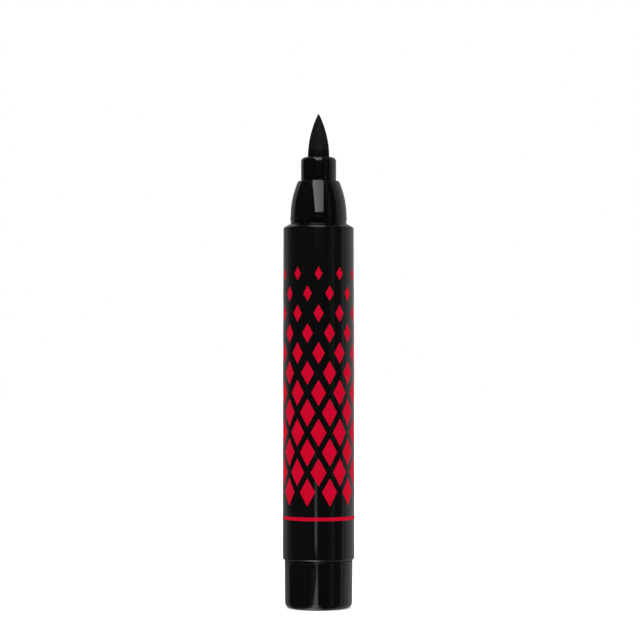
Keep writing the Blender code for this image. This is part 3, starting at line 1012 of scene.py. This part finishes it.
# %% [markdown]
# ## The studio
#
# Gloss black shows nothing of its own: what the eye reads is the room. So the light is set twice.
# For matte surfaces the sky is white and a little brighter overhead, which gives the floor its
# soft shadow. For reflections the room is dark in front, with pale walls to the right and
# behind, and a dimmer wall on the left that gets lighter upwards. The list goes round the room
# by azimuth: 0 degrees is towards the camera, and 90 is to the camera's right.

# %% The sky and the walls of the room
WALLS = [
    (-180, 0.2), (-153, 0.27), (-122, 0.28), (-118, 0.26), (-116.5, 0.015), (-60, 0.025),
    (-25, 0.02), (-20, 0.005), (30, 0.005), (40, 0.06), (43, 0.07), (46, 0.13),
    (50.5, 0.13), (54, 0.015), (57, 0.01), (76, 0.04), (79, 0.06), (82, 0.25),
    (86, 0.38), (91, 0.33), (95, 0.22), (98, 0.25), (101, 0.5), (107, 0.5),
    (112, 0.45), (118, 0.52), (130, 0.5), (143, 0.48), (156, 0.42), (170, 0.28),
    (180, 0.2),
]
LEFT_WALL_RISE, CEILING, CEILING_FADE = 1.5, 0.15, (0.62, 0.80)
SKY_LEVEL, SKY_RISE = 0.6, 1.1


def mix(factor, first, second):
    """A number between two numbers."""
    return out_of("ShaderNodeMix", {0: factor, 2: first, 3: second}, data_type="FLOAT")


def make_sky():
    """White for the camera, soft for matte surfaces, and the room for reflections."""
    world = bpy.data.worlds.new("studio")
    bpy.context.scene.world = world
    world.use_nodes = True
    world.cycles.sampling_method = "NONE"
    tree = world.node_tree
    tree.nodes.clear()
    parts = parts_of(add(tree, "ShaderNodeTexCoord").outputs["Generated"])
    azimuth = sum_of("ARCTAN2", parts["X"], times(parts["Y"], -1.0))
    ramp = follow("ShaderNodeValToRGB", {0: plus(sum_of("DIVIDE", azimuth, math.tau), 0.5)})
    stops = ramp.color_ramp.elements
    while len(stops) < len(WALLS):
        stops.new(0.5)
    for stop, (degrees, level) in zip(stops, WALLS):
        stop.position = degrees / 360.0 + 0.5
        stop.color = (level, level, level, 1.0)
    up = sum_of("MAXIMUM", parts["Z"], 0.0)
    on_left = sum_of("LESS_THAN", parts["X"], 0.0)
    gain = times(times(up, on_left), LEFT_WALL_RISE)
    wall = times(ramp.outputs[0], plus(gain, 1.0))
    room = mix(rescale(parts["Z"], CEILING_FADE, (0.0, 1.0)), wall, CEILING)
    sky = plus(times(up, SKY_RISE), SKY_LEVEL)
    path = add(tree, "ShaderNodeLightPath").outputs
    lit = mix(path["Is Glossy Ray"], sky, room)
    level = mix(path["Is Camera Ray"], lit, 1.0)
    background = {"Color": (1.0, 1.0, 1.0, 1.0), "Strength": level}
    follow("ShaderNodeOutputWorld", {0: out_of("ShaderNodeBackground", background)})


make_sky()
print("studio:", len(WALLS), "light levels round the room")

# %% [markdown]
# ### Cards that only reflections see
#
# A photographer lights gloss with cards and cloths, and places each by where its reflection
# falls. These are strips of glowing faces that neither the camera nor matte surfaces see. Each
# point of a strip has a level of its own, so that one card can fade along its length.

# %% A glowing strip
def card(name, rows):
    """A strip of glowing faces. Each row is a list of (x, y, z, level), in millimetres."""
    points = [point for row in rows for point in row]
    width = len(rows[0])
    faces = [
        (first, first + 1, first + width + 1, first + width)
        for first in range(len(points) - width)
        if first % width < width - 1
    ]
    mesh = bpy.data.meshes.new(name)
    mesh.from_pydata([(x * MM, y * MM, z * MM) for x, y, z, _ in points], [], faces)
    mesh.attributes.new("level", "FLOAT", "POINT").data.foreach_set("value", [p[3] for p in points])
    obj = new_object(name, mesh)
    material = bpy.data.materials.new(name)
    material.use_nodes = True
    tree = material.node_tree
    tree.nodes.clear()
    level = add(tree, "ShaderNodeAttribute", attribute_name="level").outputs["Fac"]
    follow("ShaderNodeOutputMaterial", {0: out_of("ShaderNodeEmission", {"Strength": level})})
    mesh.materials.append(material)
    obj.visible_camera = False
    obj.visible_diffuse = False
    obj.visible_shadow = False
    obj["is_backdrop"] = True
    print("card:", name, len(faces), "faces")


def round_pen(azimuth, distance, height, level):
    """A point of a card, at this azimuth and distance from the pen."""
    angle = math.radians(azimuth)
    return (distance * math.sin(angle), -distance * math.cos(angle), height, level)


def bent_card(name, near, far, levels):
    """A card that bends round the pen between two edges, each given as (distance, height)."""
    rows = [[round_pen(azimuth, *edge, level) for edge in (near, far)] for azimuth, level in levels]
    card(name, rows)


# %% [markdown]
# The softbox is a cloth that arches from low in front to over the pen and gets wider on the way.
# It gives the dome and the collar their bright strip, brighter on the left. A dim cloth close by
# on the left makes the barrel's grey edge fade softly. A white wedge on the floor gives the fine
# line down the barrel and the plug, with a faint glow beside it, and a dark gap in the wedge
# makes the line fade just above the seam. A tiny sloping card under the barrel's foot lights its
# rounded edge: it slopes so that the plug's wall sees it edge-on. A small patch right at the foot
# lights the plug's bottom edge, and fades outwards so that the wall above stays dark.

# %% Hang the softbox and the left cloth
SOFTBOX_DISTANCE, SOFTBOX_CENTRE = 600.0, 80.0
SOFTBOX_ROWS = [
    # Elevation in degrees, left edge, right edge, level on the left, level on the right.
    (7, -0.236, 0.347, 3.7, 2.1),
    (24, -0.32, 0.365, 3.7, 2.1),
    (38, -0.383, 0.375, 3.7, 2.1),
    (52, -0.48, 0.385, 3.7, 2.1),
    (56, -0.455, 0.34, 3.7, 2.1),
    (75, -0.45, 0.25, 3.7, 2.1),
    (81, -0.41, 0.235, 0.65, 0.65),
    (100, -0.3, 0.17, 0.6, 0.6),
    (125, -0.12, 0.096, 0.35, 0.35),
]


def softbox_point(elevation, across, level):
    """A point of the arch, straight ahead of the pen at elevation 0 and overhead at 90."""
    angle = math.radians(elevation)
    return (
        across * SOFTBOX_DISTANCE,
        -math.cos(angle) * SOFTBOX_DISTANCE,
        math.sin(angle) * SOFTBOX_DISTANCE + SOFTBOX_CENTRE,
        level,
    )


softbox_rows = [
    [softbox_point(elevation, left, bright), softbox_point(elevation, right, dim)]
    for elevation, left, right, bright, dim in SOFTBOX_ROWS
]
card("softbox", softbox_rows)
cloth_levels = ((-118.0, 0.22), (-110.0, 0.15), (-97.0, 0.06), (-84.0, 0.02))
bent_card("left_cloth", (120.0, -3.0), (120.0, 84.0), cloth_levels)

# %% Lay the wedge and its glow on the floor
CARD_HEIGHT = 0.2
WEDGE_ROWS = [
    # The left edge's x and y, the right edge's x and y, and the level.
    (-3.2, -12.2, -0.3, -12.7, 1.45),
    (-6.7, -22, -0.9, -23, 1.45),
    (-7.4, -39, -1.3, -40, 1.3),
    (-10.2, -66, -2.3, -66.5, 0.82),
    (-14.6, -84, -4, -84, 0.62),
    (-17.2, -95, -5.1, -95, 0.25),
    (-19.6, -105, -6, -105, 0),
    (-30.4, -150, -10.4, -150, 0),
    (-33.6, -163, -11.6, -163, 1.7),
    (-40.8, -193, -14.5, -193, 1.4),
    (-48, -223, -17.8, -227, 1.15),
    (-110, -500, -42, -510, 1.1),
]
wedge_points = [
    [(left_x, left_y, CARD_HEIGHT, level), (right_x, right_y, CARD_HEIGHT, level)]
    for left_x, left_y, right_x, right_y, level in WEDGE_ROWS
]
card("floor_wedge", wedge_points)
glow_levels = ((-32.0, 0.0), (-22.0, 0.07), (-12.0, 0.2))
bent_card("wedge_glow", (14.0, CARD_HEIGHT), (75.0, CARD_HEIGHT), glow_levels)

# %% Light the barrel's foot and the plug's bottom edge
SEAM_LEVELS = [
    (-110, 0.08), (-80, 0.15), (-42, 0.3), (-36, 0.55), (-28, 1), (-20, 3),
    (-12, 4), (-6.5, 3.3), (-1, 2), (2.5, 1.6), (6.5, 1.3), (11, 0.3), (38, 0.05),
]
PATCH_RADII, PATCH_HEIGHT = (6.2, 6.5, 6.85, 8.0, 12.5), 0.02
PATCH_ROWS = [
    # Azimuth in degrees, then the level near the plug, a little off it and far from it.
    (-60, 0.1, 0.01, 0.01), (-42, 0.2, 0.02, 0.02), (-28, 0.5, 0.06, 0.04),
    (-23, 1.3, 0.15, 0.06), (-17, 2.5, 0.5, 0.25), (-14, 2.5, 0.85, 1),
    (-10, 2.5, 1.8, 2.3), (-5, 2.2, 1.4, 2), (0, 1.8, 0.8, 1.2),
    (3, 1.4, 0.3, 0.2), (7, 0.6, 0.12, 0.05), (11, 0.05, 0.02, 0.02),
]
bent_card("seam_light", (7.49, 9.05), (9.74, 8.79), SEAM_LEVELS)
patch_points = [
    [
        round_pen(azimuth, radius, PATCH_HEIGHT, level)
        for radius, level in zip(PATCH_RADII, (near, near, middle, far, far))
    ]
    for azimuth, near, middle, far in PATCH_ROWS
]
card("foot_patch", patch_points)

# %% [markdown]
# ## The floor
#
# A pale matte sheet, wide enough that its edge melts into the white of the sky. Like the milky
# top of a light table it glows a little, so that only a trace of shadow is left at the foot.
# Reflections don't see it, because the room above already holds what they should show.

# %% Lay the floor
FLOOR_RADIUS, FLOOR_STEPS, FLOOR_GLOW = 3.0, 96, 0.35
floor_mesh = bpy.data.meshes.new("floor")
floor_shape = bmesh.new()
bmesh.ops.create_circle(floor_shape, cap_ends=True, radius=FLOOR_RADIUS, segments=FLOOR_STEPS)
floor_shape.to_mesh(floor_mesh)
floor_shape.free()
floor = new_object("floor", floor_mesh)
floor_white, _ = new_finish(
    "floor white",
    Base_Color=(0.95, 0.95, 0.95, 1.0),
    Roughness=0.9,
    Specular_IOR_Level=0.0,
    Emission_Color=(1.0, 1.0, 1.0, 1.0),
    Emission_Strength=FLOOR_GLOW,
)
floor_mesh.materials.append(floor_white)
floor.visible_glossy = False
floor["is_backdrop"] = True
print("floor:", FLOOR_RADIUS, "m radius")

# %% [markdown]
# ## The camera
#
# The picture is taken from 43 centimetres away, level with the middle of the pen. From there the
# seam above the foot curves down and the rims near the top curve up. The camera is tipped up by
# a degree, and its lens makes a millimetre of the pen about five pixels of a 640 pixel picture.

# %% Place the camera
CAMERA_DISTANCE, CAMERA_HEIGHT, CAMERA_SIDE = 0.43, 0.0479, 0.00028
CAMERA_TIP, LENS, SENSOR_WIDTH = 1.226, 121.5, 36.0
camera_data = bpy.data.cameras.new("camera")
camera_data.lens = LENS
camera_data.sensor_width = SENSOR_WIDTH
camera_data.clip_start, camera_data.clip_end = 0.01, 20.0
camera = new_object("camera", camera_data)
camera.location = (CAMERA_SIDE, -CAMERA_DISTANCE, CAMERA_HEIGHT)
camera.rotation_euler = (math.radians(90.0 + CAMERA_TIP), 0.0, 0.0)
bpy.context.scene.camera = camera
bpy.context.scene.view_settings.view_transform = "Standard"
print("camera:", tuple(round(part, 4) for part in camera.location))

# %% [markdown]
# ## Keep the sizes and finish
#
# The dressed pen is meant to fill the same box as the CAD model. How far the two boxes
# differ is printed, in millimetres.

# %% Print how far the boxes differ
visual_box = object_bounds()
growth = [
    round((visual - cad) / MM, 3)
    for corner in (0, 1)
    for visual, cad in zip(visual_box[corner], cad_box[corner])
]
print("visual box less CAD box, in millimetres:", growth)
